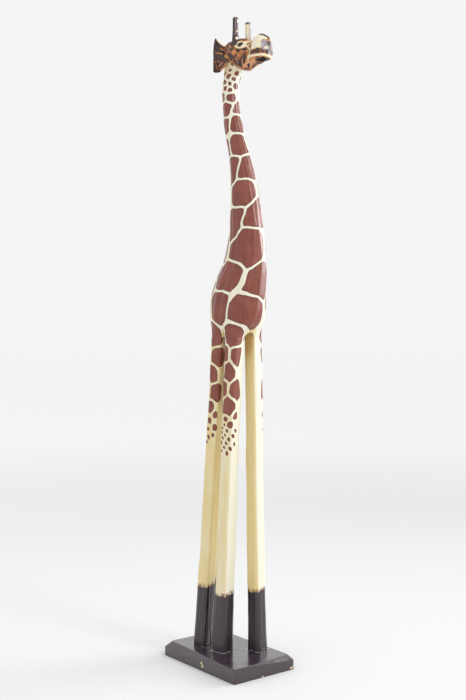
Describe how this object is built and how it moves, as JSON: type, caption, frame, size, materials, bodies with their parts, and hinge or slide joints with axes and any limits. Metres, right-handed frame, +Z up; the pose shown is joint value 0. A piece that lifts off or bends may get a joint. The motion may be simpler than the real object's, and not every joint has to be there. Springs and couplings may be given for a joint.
{
  "type": "carved giraffe statue",
  "caption": "Tall, slim hand-carved wooden giraffe with long straight legs and a cream coat with brown patches, standing on a black bevelled board.",
  "frame": {"origin": "centre of the board's underside, on the floor", "axes": "+X along the board's length towards the giraffe's front, +Y across the board towards its left, +Z up"},
  "size_m": [0.185, 0.119, 1],
  "materials": {
    "board_paint": "glossy black paint over planed wood, with small chips",
    "body_paint": "satin lacquer over mahogany-brown patches divided by cream lines",
    "leg_paint": "satin cream lacquer over knife-cut wood, black below the fetlocks",
    "burnt_wood": "scorched wood under satin lacquer",
    "dowel_wood": "plain turned hardwood",
    "screw_steel": "plain steel"
  },
  "bodies": {
    "root": {"base_board": "board_paint", "torso_and_neck": "body_paint", "head": "burnt_wood", "neck_dowel": "dowel_wood", "tail": "burnt_wood", "leg_front_right": "leg_paint", "leg_dowel_front_right": "dowel_wood", "base_screw_front_right": "screw_steel", "leg_front_left": "leg_paint", "leg_dowel_front_left": "dowel_wood", "base_screw_front_left": "screw_steel", "leg_hind_right": "leg_paint", "leg_dowel_hind_right": "dowel_wood", "base_screw_hind_right": "screw_steel", "leg_hind_left": "leg_paint", "leg_dowel_hind_left": "dowel_wood", "base_screw_hind_left": "screw_steel", "horn_right": "burnt_wood", "ear_right": "burnt_wood", "horn_left": "burnt_wood", "ear_left": "burnt_wood"}
  },
  "joints": []
}
